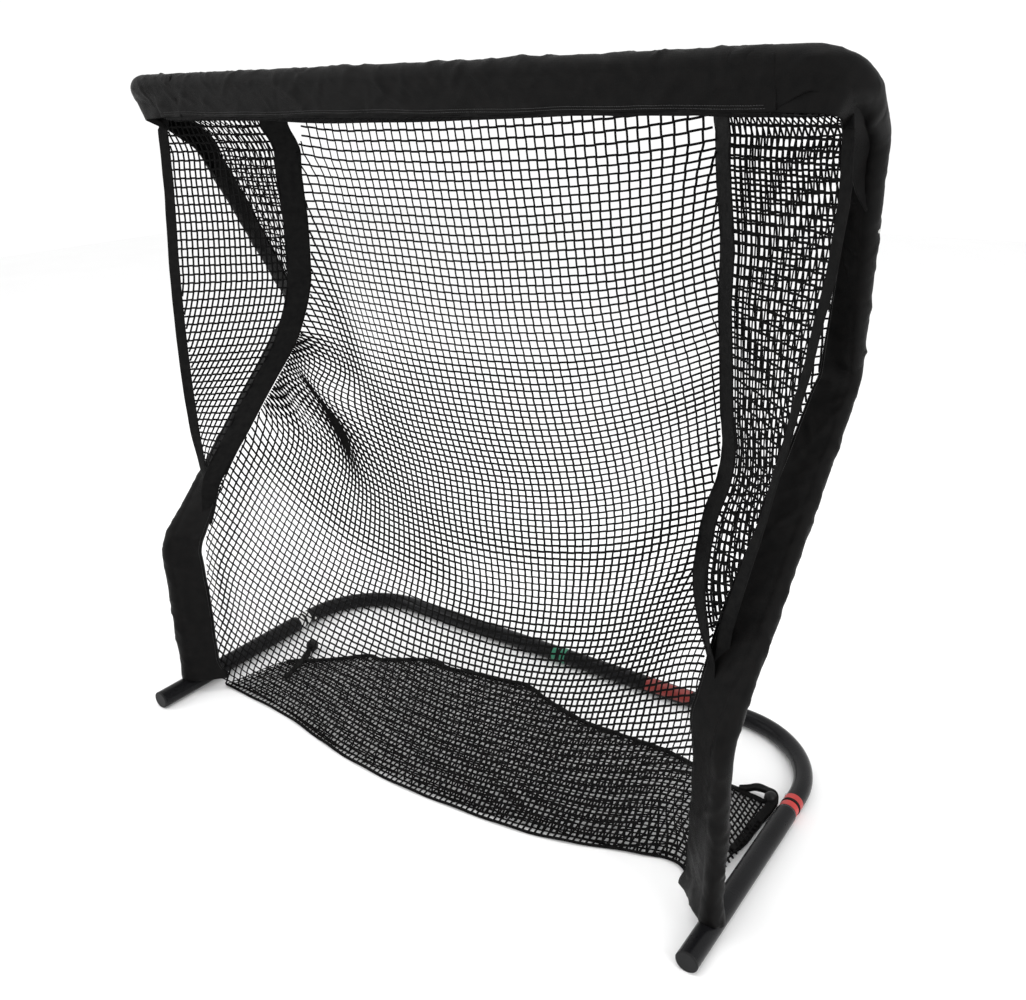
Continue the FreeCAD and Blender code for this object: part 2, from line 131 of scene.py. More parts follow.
def ramp(nt, src, stops):
    r = nt.nodes.new("ShaderNodeValToRGB")
    r.color_ramp.elements[0].position, r.color_ramp.elements[0].color = stops[0][0], (*stops[0][1], 1)
    r.color_ramp.elements[1].position, r.color_ramp.elements[1].color = stops[-1][0], (*stops[-1][1], 1)
    for p, c in stops[1:-1]:
        e = r.color_ramp.elements.new(p)
        e.color = (*c, 1)
    nt.links.new(src, r.inputs["Fac"])
    return r.outputs["Color"]


def noise_tex(nt, vec, scale, detail=3.0, rough=0.5):
    n = nt.nodes.new("ShaderNodeTexNoise")
    n.inputs["Scale"].default_value = scale
    n.inputs["Detail"].default_value = detail
    n.inputs["Roughness"].default_value = rough
    nt.links.new(vec, n.inputs["Vector"])
    return n.outputs["Fac"]


def spread(nt, src, lo, hi):
    r = nt.nodes.new("ShaderNodeMapRange")
    r.inputs["To Min"].default_value = lo
    r.inputs["To Max"].default_value = hi
    nt.links.new(src, r.inputs["Value"])
    return r.outputs["Result"]


def wave_tex(nt, vec, scale, direction, kind="BANDS", dist=0.0):
    w = nt.nodes.new("ShaderNodeTexWave")
    w.wave_type = kind
    w.bands_direction = direction
    w.inputs["Scale"].default_value = scale
    w.inputs["Distortion"].default_value = dist
    nt.links.new(vec, w.inputs["Vector"])
    return w.outputs["Fac"]


def math_node(nt, op, a, b):
    n = nt.nodes.new("ShaderNodeMath")
    n.operation = op
    for k, v in enumerate((a, b)):
        if isinstance(v, (int, float)):
            n.inputs[k].default_value = v
        else:
            nt.links.new(v, n.inputs[k])
    return n.outputs[0]


def bump(nt, b, src, strength, distance):
    n = nt.nodes.new("ShaderNodeBump")
    n.inputs["Strength"].default_value = strength
    n.inputs["Distance"].default_value = distance
    nt.links.new(src, n.inputs["Height"])
    nt.links.new(n.outputs["Normal"], b.inputs["Normal"])


def mat_powder_coat():
    m, nt, b, co = material("powder_coat_black", (0.004, 0.004, 0.0044), 0.26, spec=0.14)
    o = co.outputs["Object"]
    nt.links.new(spread(nt, noise_tex(nt, o, 24, 4), 0.20, 0.34), b.inputs["Roughness"])
    nt.links.new(ramp(nt, noise_tex(nt, o, 9, 3), [(0.3, (0.0035, 0.0035, 0.004)), (0.75, (0.008, 0.008, 0.009))]), b.inputs["Base Color"])
    bump(nt, b, noise_tex(nt, o, 620, 2, 0.6), 0.16, 0.0006)
    return m


def mat_metal(name, color, rough, scale):
    m, nt, b, co = material(name, color, rough, metallic=1.0)
    o = co.outputs["Object"]
    nt.links.new(spread(nt, noise_tex(nt, o, scale, 4), rough * 0.7, rough * 1.5), b.inputs["Roughness"])
    nt.links.new(ramp(nt, noise_tex(nt, o, scale * 0.5), [(0.3, tuple(c * 0.82 for c in color)), (0.8, color)]), b.inputs["Base Color"])
    bump(nt, b, noise_tex(nt, o, scale * 6), 0.06, 0.0003)
    return m


def mat_plastic(name, color, rough, grain=420, spec=0.5):
    m, nt, b, co = material(name, color, rough, spec=spec)
    o = co.outputs["Object"]
    nt.links.new(spread(nt, noise_tex(nt, o, 60, 3), rough * 0.85, min(1, rough * 1.25)), b.inputs["Roughness"])
    nt.links.new(ramp(nt, noise_tex(nt, o, 35, 3), [(0.3, tuple(c * 0.8 for c in color)), (0.8, tuple(min(1, c * 1.15) for c in color))]), b.inputs["Base Color"])
    bump(nt, b, noise_tex(nt, o, grain, 2), 0.12, 0.0004)
    return m


def mat_fabric(name, dark, light, pitch, rough=0.62, sheen=0.12, bump_k=0.35, grid=0.0, spec=0.12):
    """Plain weave laid out on the mesh's own u, v in metres, with a ripstop grid where asked for."""
    m, nt, b, co = material(name, dark, rough, sheen=sheen, spec=spec)
    uv = co.outputs["UV"]
    k = 1.0 / pitch / (2 * math.pi) * math.pi
    wx = wave_tex(nt, uv, k, "X")
    wy = wave_tex(nt, uv, k, "Y")
    h = math_node(nt, "ADD", wx, wy)
    if grid:
        kg = 1.0 / grid / 2.0
        gx = math_node(nt, "POWER", wave_tex(nt, uv, kg, "X"), 9.0)
        gy = math_node(nt, "POWER", wave_tex(nt, uv, kg, "Y"), 9.0)
        h = math_node(nt, "ADD", h, math_node(nt, "MULTIPLY", math_node(nt, "MAXIMUM", gx, gy), 2.0))
    n = noise_tex(nt, uv, 45, 4)
    mid = tuple(0.5 * (a + c) for a, c in zip(dark, light))
    nt.links.new(ramp(nt, n, [(0.25, dark), (0.55, mid), (0.85, light)]), b.inputs["Base Color"])
    nt.links.new(spread(nt, noise_tex(nt, uv, 90, 3), rough * 0.85, min(1.0, rough * 1.2)), b.inputs["Roughness"])
    bump(nt, b, h, bump_k, 0.0004)
    return m


def mat_cord():
    m, nt, b, co = material("net_twine_black", (0.004, 0.004, 0.0044), 0.72, spec=0.06)
    o = co.outputs["Object"]
    nt.links.new(ramp(nt, noise_tex(nt, o, 60, 4), [(0.3, (0.0028, 0.0028, 0.003)), (0.8, (0.0075, 0.0072, 0.007))]), b.inputs["Base Color"])
    nt.links.new(spread(nt, noise_tex(nt, o, 300, 2), 0.6, 0.85), b.inputs["Roughness"])
    bump(nt, b, wave_tex(nt, o, 260, "DIAGONAL", dist=3.0), 0.5, 0.0005)
    return m


def mat_webbing():
    m, nt, b, co = material("webbing_black", (0.0045, 0.0045, 0.0048), 0.66, spec=0.08)
    uv = co.outputs["UV"]
    ribs = wave_tex(nt, uv, 130, "Y", dist=0.4)
    cross = wave_tex(nt, uv, 420, "X", dist=0.6)
    nt.links.new(ramp(nt, noise_tex(nt, uv, 70, 4), [(0.3, (0.003, 0.003, 0.0032)), (0.8, (0.008, 0.0078, 0.0075))]), b.inputs["Base Color"])
    nt.links.new(spread(nt, noise_tex(nt, uv, 120, 2), 0.55, 0.8), b.inputs["Roughness"])
    bump(nt, b, math_node(nt, "ADD", ribs, math_node(nt, "MULTIPLY", cross, 0.5)), 0.6, 0.0006)
    return m


MATS = {
    "frame_tube": mat_powder_coat(),
    "button_steel": mat_metal("button_steel", (0.62, 0.62, 0.60), 0.22, 90),
    "spring_steel": mat_metal("spring_steel", (0.36, 0.36, 0.37), 0.32, 120),
    "plug_plastic": mat_plastic("plug_black", (0.007, 0.007, 0.0075), 0.52, spec=0.2),
    "band_red": mat_plastic("band_red_vinyl", (0.46, 0.018, 0.014), 0.36),
    "band_green": mat_plastic("band_green_vinyl", (0.010, 0.16, 0.085), 0.36),
    "band_white": mat_plastic("band_white_vinyl", (0.72, 0.72, 0.70), 0.4),
    "label_vinyl": mat_plastic("label_dark_red_vinyl", (0.20, 0.016, 0.012), 0.34),
    "sleeve_fabric": mat_fabric("sleeve_woven_black", (0.0018, 0.0018, 0.0019), (0.0055, 0.0050, 0.0048), 0.0012, rough=0.42, sheen=0.0, bump_k=0.30, grid=0.006, spec=0.07),
    "net_cord": mat_cord(),
    "binding_tape": mat_webbing(),
    "ball_plastic": mat_plastic("ball_black", (0.006, 0.006, 0.006), 0.36, spec=0.2),
    "stitch_thread": mat_fabric("stitch_thread_grey", (0.022, 0.022, 0.022), (0.045, 0.045, 0.045), 0.0010, rough=0.7, bump_k=0.4),
    "tie_elastic": mat_fabric("elastic_black", (0.006, 0.006, 0.006), (0.014, 0.014, 0.014), 0.0016, rough=0.75, sheen=0.0, bump_k=0.6),
}
floor_mat, fnt, fb, fco = material("studio_floor", (0.86, 0.86, 0.86), 0.9, spec=0.05)
fnt.links.new(ramp(fnt, noise_tex(fnt, fco.outputs["Object"], 2.0, 2), [(0.2, (0.92, 0.92, 0.92)), (0.9, (0.94, 0.94, 0.94))]), fb.inputs["Base Color"])


# ---------------------------------------------------------------------------
# Mesh helpers
# ---------------------------------------------------------------------------
def mesh_object(name, verts, quads, mat, uv=None, smooth=True):
    verts = np.asarray(verts, np.float32)
    quads = np.asarray(quads, np.int32)
    me = bpy.data.meshes.new(name)
    me.vertices.add(len(verts))
    me.vertices.foreach_set("co", verts.ravel())
    me.loops.add(quads.size)
    me.loops.foreach_set("vertex_index", quads.ravel())
    me.polygons.add(len(quads))
    me.polygons.foreach_set("loop_start", np.arange(0, quads.size, 4, dtype=np.int32))
    me.polygons.foreach_set("use_smooth", np.full(len(quads), smooth))
    if uv is not None:
        lay = me.uv_layers.new(name="UVMap")
        lay.data.foreach_set("uv", np.asarray(uv, np.float32)[quads.ravel()].ravel())
    me.materials.append(mat)
    me.update(calc_edges=True)
    me.validate()
    ob = bpy.data.objects.new(name, me)
    bpy.context.scene.collection.objects.link(ob)
    return ob


def surface_of(ob):
    me = ob.data
    a = np.empty(len(me.polygons))
    me.polygons.foreach_get("area", a)
    return float(a.sum())


def piece(ob, slot, *nodes, body="frame"):
    if nodes:
        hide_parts(*nodes)
    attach(ob, body)
    return ob


class Cords:
    """Collects cords as four-sided tubes and joins them into one mesh."""

    def __init__(self, w, h):
        self.w, self.h = w / 2.0, h / 2.0
        self.v, self.q, self.n, self.length = [], [], 0, 0.0

    def add(self, p, nrm):
        if len(p) < 2:
            return
        keep = np.r_[True, np.linalg.norm(np.diff(p, axis=0), axis=1) > 5e-4]
        p, nrm = p[keep], nrm[keep]
        m = len(p)
        if m < 2:
            return
        t = unit(np.gradient(p, axis=0))
        s = unit(np.cross(t, nrm))
        n = np.cross(s, t)
        ring = np.stack([p + s * self.w, p + n * self.h, p - s * self.w, p - n * self.h], 1)
        self.v.append(ring.reshape(-1, 3))
        base = self.n + 4 * np.arange(m - 1)[:, None]
        k = np.arange(4)[None]
        k2 = (k + 1) % 4
        self.q.append(np.stack([base + k, base + k2, base + 4 + k2, base + 4 + k], -1).reshape(-1, 4))
        e = self.n + 4 * (m - 1)
        self.q.append(np.array([[self.n + 3, self.n + 2, self.n + 1, self.n], [e, e + 1, e + 2, e + 3]]))
        self.n += 4 * m
        self.length += float(np.linalg.norm(np.diff(p, axis=0), axis=1).sum())

    def build(self, name):
        return mesh_object(name, np.concatenate(self.v), np.concatenate(self.q), MATS["net_cord"])


def lattice(cords, surf, i_span, j_lo, j_hi, i_lo, i_hi, twist=0.03, half=0.14, j_split=None):
    """Rows and columns of cord on surf(i, j), rows run where i_span(j) allows."""

    def nrm(i, j):
        e = 0.25
        di = surf(i + e, j) - surf(i - e, j)
        dj = surf(i, j + e) - surf(i, j - e)
        return unit(np.cross(di, dj))

    def put(i, j):
        cords.add(surf(i, j), nrm(i, j))

    for j in range(math.ceil(j_lo), math.floor(j_hi) + 1):
        a, b = i_span(float(j))
        if b - a < 0.3:
            continue
        ks = np.arange(math.ceil(a + half), math.floor(b - half) + 1)
        ii, jj = [a], [float(j)]
        for k in ks:
            s = twist if (k + j) % 2 == 0 else -twist
            ii += [k - half, k + half]
            jj += [j - s, j + s]
        ii.append(b)
        jj.append(float(j))
        put(np.array(ii), np.array(jj))
    grid = np.linspace(j_lo, j_hi, int((j_hi - j_lo) * 4) + 1)
    span = np.array([i_span(g) for g in grid])
    for k in range(math.ceil(i_lo), math.floor(i_hi) + 1):
        ok = (span[:, 0] <= k) & (k <= span[:, 1])
        idx = np.flatnonzero(np.diff(np.r_[False, ok, False].astype(int)))
        for s0, s1 in zip(idx[::2], idx[1::2] - 1):
            if s1 - s0 < 2:
                continue
            a, b = grid[s0], grid[s1]
            js = np.arange(math.ceil(a + half), math.floor(b - half) + 1)
            ii, jj = [float(k)], [a]
            for j in js:
                s = twist if (k + j) % 2 == 0 else -twist
                ii += [k + s, k - s]
                jj += [j - half, j + half]
            ii.append(float(k))
            jj.append(b)
            put(np.array(ii), np.array(jj))


def curve_on(levels, dense=6):
    """Smooth curve through points (Catmull-Rom)."""
    p = np.asarray(levels, float)
    p = np.vstack([2 * p[0] - p[1], p, 2 * p[-1] - p[-2]])
    out = []
    for k in range(1, len(p) - 2):
        t = np.linspace(0, 1, dense, endpoint=False)[:, None]
        a, b, c, d = p[k - 1], p[k], p[k + 1], p[k + 2]
        out.append(0.5 * ((2 * b) + (c - a) * t + (2 * a - 5 * b + 4 * c - d) * t**2 + (3 * b - a - 3 * c + d) * t**3))
    out.append(p[-2][None])
    return np.vstack(out)


def slab(name, a, b, thick, across, mat, wave=0.0, seed=1, fringe=None):
    """A flat strip between two curves, with its own thickness and a slight ripple; uv in metres."""
    rng = np.random.default_rng(seed)
    n = len(a)
    s = np.r_[0, np.cumsum(np.linalg.norm(np.diff(0.5 * (a + b), axis=0), axis=1))]
    t = np.linspace(0, 1, across)
    mid = a[:, None] * (1 - t)[None, :, None] + b[:, None] * t[None, :, None]
    tan = unit(np.gradient(0.5 * (a + b), axis=0))
    nrm = unit(np.cross(tan, b - a))
    f = np.zeros((n, across))
    for _ in range(7):
        L = rng.uniform(0.03, 0.16)
        f += rng.uniform(-1, 1) * np.sin(2 * np.pi * s[:, None] / L + rng.uniform(0, 6) + t[None] * rng.uniform(-2.5, 2.5))
    mid = mid + nrm[:, None] * (f * wave / 3.0)[..., None]
    w = np.linalg.norm(b - a, axis=1)
    top = mid + nrm[:, None] * thick / 2
    bot = mid - nrm[:, None] * thick / 2
    v = np.concatenate([top.reshape(-1, 3), bot.reshape(-1, 3)])
    uv1 = np.stack([np.repeat(s[:, None], across, 1), w[:, None] * t[None]], -1).reshape(-1, 2)
    uv = np.concatenate([uv1, uv1])
    idx = np.arange(n * across).reshape(n, across)
    q = np.stack([idx[:-1, :-1], idx[1:, :-1], idx[1:, 1:], idx[:-1, 1:]], -1).reshape(-1, 4)
    o = n * across
    q2 = q[:, ::-1] + o
    edges = []
    for line in (idx[:, 0], idx[:, -1][::-1], idx[0, ::-1], idx[-1]):
        edges.append(np.stack([line[1:], line[:-1], line[:-1] + o, line[1:] + o], -1))
    ob = mesh_object(name, v, np.concatenate([q, q2] + edges), mat, uv)
    return ob


def stitches(name, pts, nrm, pitch=0.0042, dash=0.0030, r=0.00042, lift=0.0002):
    """A line of short raised thread dashes along pts."""
    s = np.r_[0, np.cumsum(np.linalg.norm(np.diff(pts, axis=0), axis=1))]
    c = Cords(2 * r, 2 * r)
    for a in np.arange(0.004, s[-1] - 0.006, pitch):
        u = np.array([a, a + dash * 0.5, a + dash])
        p = np.stack([np.interp(u, s, pts[:, k]) for k in range(3)], -1)
        n = np.stack([np.interp(u, s, nrm[:, k]) for k in range(3)], -1)
        p = p + unit(n) * (lift + np.array([0, r, 0]))[:, None]
        c.add(p, unit(n))
    return c


# ---------------------------------------------------------------------------
# The CAD nodes that stay get their finishes
# ---------------------------------------------------------------------------
for name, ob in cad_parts.items():
    if name.startswith(("base_leg", "rear_bow", "upright_stub", "lower_upright", "upper_upright", "top_bar")):
        key = "frame_tube"
    elif name.startswith("snap_button"):
        key = "button_steel"
    elif name.startswith("spring_clip"):
        key = "spring_steel"
    elif name.startswith("foot_plug"):
        key = "plug_plastic"
    elif name in ("band_bow_right", "band_leg_right"):
        key = "band_red"
    elif name.startswith("band_rear"):
        key = "band_green"
    elif name.startswith("band_"):
        key = "band_white"
    elif name == "blank_label":
        key = "label_vinyl"
    elif name.startswith("tie_ball"):
        key = "ball_plastic"
    elif name.startswith("tie_loop"):
        key = "tie_elastic"
    else:
        key = "sleeve_fabric"
    ob.data.materials.clear() if not len(ob.material_slots) else None
    if not len(ob.material_slots):
        ob.data.materials.append(MATS[key])
    for sl in ob.material_slots:
        sl.material = MATS[key]


# ---------------------------------------------------------------------------
# Upright path and the sleeve over it
# ---------------------------------------------------------------------------
def rounded_path(points, radii, step=6.0):
    """Straight runs with arcs at the corners, resampled evenly."""
    pts = [np.asarray(p, float) for p in points]
    out = [pts[0]]
    for k in range(1, len(pts) - 1):
        a, b, c = pts[k - 1], pts[k], pts[k + 1]
        u, w = unit(a - b), unit(c - b)
        ang = math.acos(float(np.clip(np.dot(u, w), -1, 1)))
        r = radii[k - 1]
        d = r / math.tan(ang / 2)
        centre = b + unit(u + w) * (r / math.sin(ang / 2))
        p0, p1 = b + u * d, b + w * d
        e0, e1 = p0 - centre, p1 - centre
        tot = math.acos(float(np.clip(np.dot(e0, e1) / r / r, -1, 1)))
        for t in np.linspace(0, 1, 14):
            out.append(centre + (math.sin((1 - t) * tot) * e0 + math.sin(t * tot) * e1) / math.sin(tot))
    out.append(pts[-1])
    p = np.array(out)
    s = np.r_[0, np.cumsum(np.linalg.norm(np.diff(p, axis=0), axis=1))]
    n = int(s[-1] / step) + 1
    u = np.linspace(0, s[-1], n)
    return np.stack([np.interp(u, s, p[:, k]) for k in range(3)], -1), u


UPRIGHT = [(750, 0, 40), (750, 0, 427), (750, 509, 942.6), (812, 303, 1387.5), (829, 142, 1495.6), (640, 142, 1495.6)]
UP_RADII = [100, 62, 80, 72]
path_r, path_s = rounded_path(UPRIGHT, UP_RADII)
path_t = unit(np.gradient(path_r, axis=0))

# where the sleeve's sewn edge points (towards the net), by height, and how far out it is
TAIL_Z = np.array([30, 250, 400, 470, 520, 600, 700, 800, 942, 1100, 1300, 1400])
TAIL_D = np.array([(-74, 40), (-74, 48), (-72, 40), (-76, 25), (-78, 4), (-115, -50), (-135, -80), (-150, -100), (-190, -150), (-220, -40), (-250, 30), (-250, 20)], float)
TAIL_LZ = np.array([30, 400, 520, 600, 700, 800, 942, 1050, 1200, 1496])
TAIL_L = np.array([84, 84, 80, 78, 72, 66, 63, 52, 42, 42], float)


def tail_frame(p, t):
    z = p[:, 2]
    d = np.stack([np.interp(z, TAIL_Z, TAIL_D[:, 0]), np.interp(z, TAIL_Z, TAIL_D[:, 1]), np.zeros(len(z))], -1)
    d = unit(d)
    k = smooth01((z - 1400) / 90.0)[:, None]
    d = unit(d * (1 - k) + np.array([-0.05, 0.0, -1.0]) * k)
    d = unit(d - t * (d * t).sum(1, keepdims=True))
    run = np.r_[0, np.cumsum(np.linalg.norm(np.diff(p, axis=0), axis=1))]
    left = run[-1] - run
    return d, np.interp(z, TAIL_LZ, TAIL_L) + 26.0 * smooth01((125.0 - left) / 70.0)


def teardrop(rb, length, tip, n_tail=13, n_arc=15):
    """Half outline from the sewn edge round to the far side, as (along, out) pairs."""
    t = np.linspace(0, 1, n_tail, endpoint=False)
    a0 = math.radians(62)
    x1, y1 = rb * math.cos(a0), rb * math.sin(a0)
    x = length + (x1 - length) * t
    y = tip + (y1 - tip) * (0.35 * t + 0.65 * smooth01(t) ** 1.3)
    a = np.linspace(a0, math.pi, n_arc)
    return np.stack([np.r_[x, rb * np.cos(a)], np.r_[y, rb * np.sin(a)]], -1)


def creases(s, a, count, seed, length=(18, 60), width=(2.2, 5.0), amp=(0.35, 1.25), lean=(0.25, 1.2), a_range=None):
    """Sum of short slanting creases over the unrolled cloth, s along it and a across, in mm."""
    rng = np.random.default_rng(seed)
    h = np.zeros_like(s)
    smax, amin, amax = s.max(), a.min(), a.max()
    for _ in range(count):
        s0 = rng.uniform(0, smax)
        a0 = rng.uniform(amin, amax) if a_range is None else rng.uniform(*a_range)
        th = rng.choice([-1, 1]) * rng.uniform(*lean)
        L, w, A = rng.uniform(*length), rng.uniform(*width), rng.uniform(*amp) * rng.choice([1, 1, -0.8])
        ds, da = s - s0, a - a0
        u = ds * math.sin(th) + da * math.cos(th)
        v = ds * math.cos(th) - da * math.sin(th)
        v = v + 0.004 * u * u * rng.uniform(-1, 1)
        m = (np.abs(u) < L) & (np.abs(v) < 4 * w)
        h[m] += A * np.exp(-((v[m] / w) ** 2)) * np.cos(u[m] / L * math.pi / 2) ** 2
    return h


def sleeve_mesh(name, p, s, t, d, length, rb_fn, tip, seed, count, cloth=0.8, amp=1.0, hem_lo=None, hem_hi=None, flare=None):
    """Cloth tube with a flat sewn edge, swept along p; every row is one closed outline."""
    e = np.cross(t, d)
    rows, uvs, nrms = [], [], []
    for k in range(len(p)):
        rb = rb_fn(s[k])
        half = teardrop(rb, length[k], tip)
        ring = np.vstack([half, (half * [1, -1])[::-1][1:]])
        if flare is not None:
            ring = ring * flare(s[k])
        a = np.r_[0, np.cumsum(np.linalg.norm(np.diff(ring, axis=0), axis=1))]
        tg = np.gradient(ring, axis=0)
        n2 = unit(np.stack([tg[:, 1], -tg[:, 0]], -1))
        if np.dot(n2[len(ring) // 2], ring[len(ring) // 2]) < 0:
            n2 = -n2
        rows.append(p[k] + ring[:, :1] * d[k] + ring[:, 1:] * e[k])
        nrms.append(n2[:, :1] * d[k] + n2[:, 1:] * e[k])
        uvs.append(np.stack([np.full(len(a), s[k]), a], -1))
    R, N, UV = np.array(rows), np.array(nrms), np.array(uvs)
    n, m = R.shape[:2]
    S, A = UV[..., 0], UV[..., 1]
    h = creases(S, A, count, seed)
    h += creases(S, A, count // 3, seed + 5, length=(30, 95), width=(5, 10), amp=(1.2, 3.4), lean=(0.5, 1.4))
    h += creases(S, A, count // 5, seed + 9, length=(14, 40), width=(3, 6), amp=(1.0, 2.6), lean=(0.1, 0.7))
    tail = np.minimum(A, A.max(axis=1, keepdims=True) - A)
    h *= smooth01((tail - 1.0) / 10.0) * amp
    h = np.where(h < 0, -1.2 * np.tanh(-h / 1.2), 6.5 * np.tanh(h / 6.5))
    R = R + N * h[..., None]
    # the sewn edge waves a little
    wv = 1.6 * np.sin(s / 37.0 + seed) + 1.1 * np.sin(s / 13.0 + 2.1 * seed)
    edge = np.exp(-((tail / 18.0) ** 2))
    R = R + (e[:, None] * (wv[:, None] * edge * 0.9)[..., None])
    inner = R - N * cloth
    v = mm(np.concatenate([R.reshape(-1, 3), inner.reshape(-1, 3)]))
    uv = np.concatenate([UV.reshape(-1, 2)] * 2) / 1000.0
    idx = np.arange(n * m).reshape(n, m)
    q = np.stack([idx[:-1, :-1], idx[1:, :-1], idx[1:, 1:], idx[:-1, 1:]], -1).reshape(-1, 4)
    o = n * m
    ends = [np.stack([idx[0, 1:], idx[0, :-1], idx[0, :-1] + o, idx[0, 1:] + o], -1)[:, ::-1],
            np.stack([idx[-1, 1:], idx[-1, :-1], idx[-1, :-1] + o, idx[-1, 1:] + o], -1)]
    seam = [np.stack([idx[:-1, 0], idx[1:, 0], idx[1:, 0] + o, idx[:-1, 0] + o], -1)[:, ::-1],
            np.stack([idx[:-1, -1], idx[1:, -1], idx[1:, -1] + o, idx[:-1, -1] + o], -1)]
    return v, np.concatenate([q, q[:, ::-1] + o] + ends + seam), uv, R, N


def mirror_x(v):
    return v * np.array([-1.0, 1.0, 1.0])


tail_dir, tail_len = tail_frame(path_r, path_t)
TIP_R = path_r + tail_dir * tail_len[:, None]
foot = lambda s: 1.0 + 0.22 * (1 - smooth01(s / 60.0))
base_r = lambda s: 18.6 + 1.6 * (1 - smooth01((s - 380) / 200.0)) + 1.0 * smooth01((s - 1500) / 100)

SLEEVES = {}
for side, seed in (("right", 3), ("left", 11)):
    v, q, uv, R, N = sleeve_mesh("side_sleeve_" + side, path_r, path_s, path_t, tail_dir, tail_len, base_r, 1.8, seed, 620, flare=foot)
    if side == "left":
        v = mirror_x(v)
        q = q[:, ::-1]
    ob = mesh_object("sleeve_cloth_" + side, v, q, MATS["sleeve_fabric"], uv)
    piece(ob, "sleeve_fabric", "side_sleeve_" + side)
    # two rows of stitching along the sewn edge
    th = Cords(0.0009, 0.0009)
    for off in (7.0, 10.5):
        for sg in (1, -1):
            k = int(np.argmin(np.abs(np.linalg.norm(np.diff(R[100], axis=0), axis=1).cumsum() - off)))
            kk = k if sg == 1 else R.shape[1] - 1 - k
            line, nn = mm(R[:, kk]), N[:, kk]
            c = stitches("t", line[4:-40], nn[4:-40])
            for vv, qq in zip(c.v, [None] * len(c.v)):
                th.v.append(vv)
            for qq in c.q:
                th.q.append(qq + th.n)
            th.n += c.n
    vv = np.concatenate(th.v)
    qq = np.concatenate(th.q)
    if side == "left":
        vv, qq = mirror_x(vv), qq[:, ::-1]
    piece(mesh_object("sleeve_stitching_" + side, vv, qq, MATS["stitch_thread"]), "sleeve_fabric")

# top sleeve: along the bar, its sewn edge hanging down
TOP_Z, TOP_Y = 1495.6, 142.0
xs = np.arange(-712.0, 713.0, 6.0)
tp = np.stack([xs, np.full_like(xs, TOP_Y), np.full_like(xs, TOP_Z)], -1)
tp[:, 2] -= 1.2 * np.cos(xs / 712 * math.pi / 2)
tt = np.tile([1.0, 0, 0], (len(xs), 1))
td = np.tile([0.0, 0.0, -1.0], (len(xs), 1))
tl = 68.0 + 1.2 * np.sin(xs / 90.0) + 0.8 * np.sin(xs / 31.0)
end = lambda s: 1.0 + 0.012 * (1 - smooth01(np.minimum(s, 1424 - s) / 70.0))
v, q, uv, R, N = sleeve_mesh("top_sleeve", tp, xs + 712.0, tt, td, tl, lambda s: 19.4, 1.7, 29, 430, amp=0.85, flare=end)
top = mesh_object("top_sleeve_cloth", v, q, MATS["sleeve_fabric"], uv)
piece(top, "sleeve_fabric", "top_sleeve")
arc = np.r_[0, np.cumsum(np.linalg.norm(np.diff(R[100], axis=0), axis=1))]
th = None
for off in (4.0, 8.5):
    for far in (False, True):
        k = int(np.argmin(np.abs(arc - off)))
        k = R.shape[1] - 1 - k if far else k
        c = stitches("t", mm(R[2:-2, k]), N[2:-2, k])
        if th is None:
            th = c
        else:
            th.v += c.v
            th.q += [x + th.n for x in c.q]
            th.n += c.n
piece(mesh_object("top_sleeve_stitching", np.concatenate(th.v), np.concatenate(th.q), MATS["stitch_thread"]), "sleeve_fabric")

# narrow tape under the hem, where the net is caught in
hx = np.linspace(-700, 700, 240)
hz = 1427.5 + 0.9 * np.sin(hx / 47.0) + 0.5 * np.sin(hx / 19.0)
ha = mm(np.stack([hx, np.full_like(hx, 142.0), hz + 5.3], -1))
hb = mm(np.stack([hx, np.full_like(hx, 143.2), hz - 5.2], -1))
hem_band = slab("top_hem_tape", ha, hb, 0.0016, 5, MATS["binding_tape"], wave=0.0006, seed=4)
piece(hem_band, "binding_tape")

# gusset of sleeve cloth across the inside of each top corner
g_out = [(700, 142, 1495.6), (752, 142, 1495.6), (784, 144, 1488), (808, 152, 1474), (822, 170, 1462), (826, 196, 1450), (822, 232, 1432),
         (818, 268, 1408), (812, 298, 1378), (806, 322, 1330), (801, 340, 1280)]
g_in = [(700, 142, 1425.5), (745, 142, 1424), (775, 145, 1423), (790, 156, 1420), (793, 176, 1414), (790, 202, 1400), (784, 232, 1382),
        (779, 262, 1360), (779, 290, 1330), (784, 318, 1296), (794, 337, 1270)]
g_out, g_in = curve_on(g_out, 9), curve_on(g_in, 9)
for side, sg in (("right", 1.0), ("left", -1.0)):
    f = np.array([sg, 1.0, 1.0])
    a, b = (g_out, g_in) if sg > 0 else (g_in, g_out)
    ob = slab("corner_gusset_" + side, mm(a * f), mm(b * f), 0.0030, 15, MATS["sleeve_fabric"], wave=0.0046, seed=31 + int(sg))
    piece(ob, "sleeve_fabric", "side_sleeve_" + side)

# ---------------------------------------------------------------------------
# Wing tapes and strips
# ---------------------------------------------------------------------------
TAPE = [(1423, 547, 312), (1402, 547, 318), (1390, 547, 324), (1350, 541, 342), (1300, 545, 344), (1250, 549, 350), (1200, 552, 356), (1150, 553, 356),
        (1100, 554, 354), (1050, 558, 354), (1000, 566, 346), (950, 576, 332), (900, 588, 314), (850, 607, 288), (800, 618, 248),
        (750, 618, 198), (700, 625, 158), (650, 637, 120), (600, 657, 96), (560, 672, 88), (520, 682, 88), (470, 690, 76)]
STRIP = [(1423, 792, 206), (1402, 796, 204), (1390, 799, 202), (1300, 802, 200), (1200, 798, 188), (1100, 788, 170), (1000, 776, 154), (900, 761, 138),
         (800, 745, 124), (700, 724, 110), (600, 703, 102), (550, 698, 100), (500, 697, 92), (460, 697, 74)]
ca, sa = math.cos(math.radians(42.0)), math.sin(math.radians(42.0))


def edge_curve(table, off):
    c = curve_on([(x, y, z) for z, x, y in table], 5)
    return c + np.asarray(off)[None]


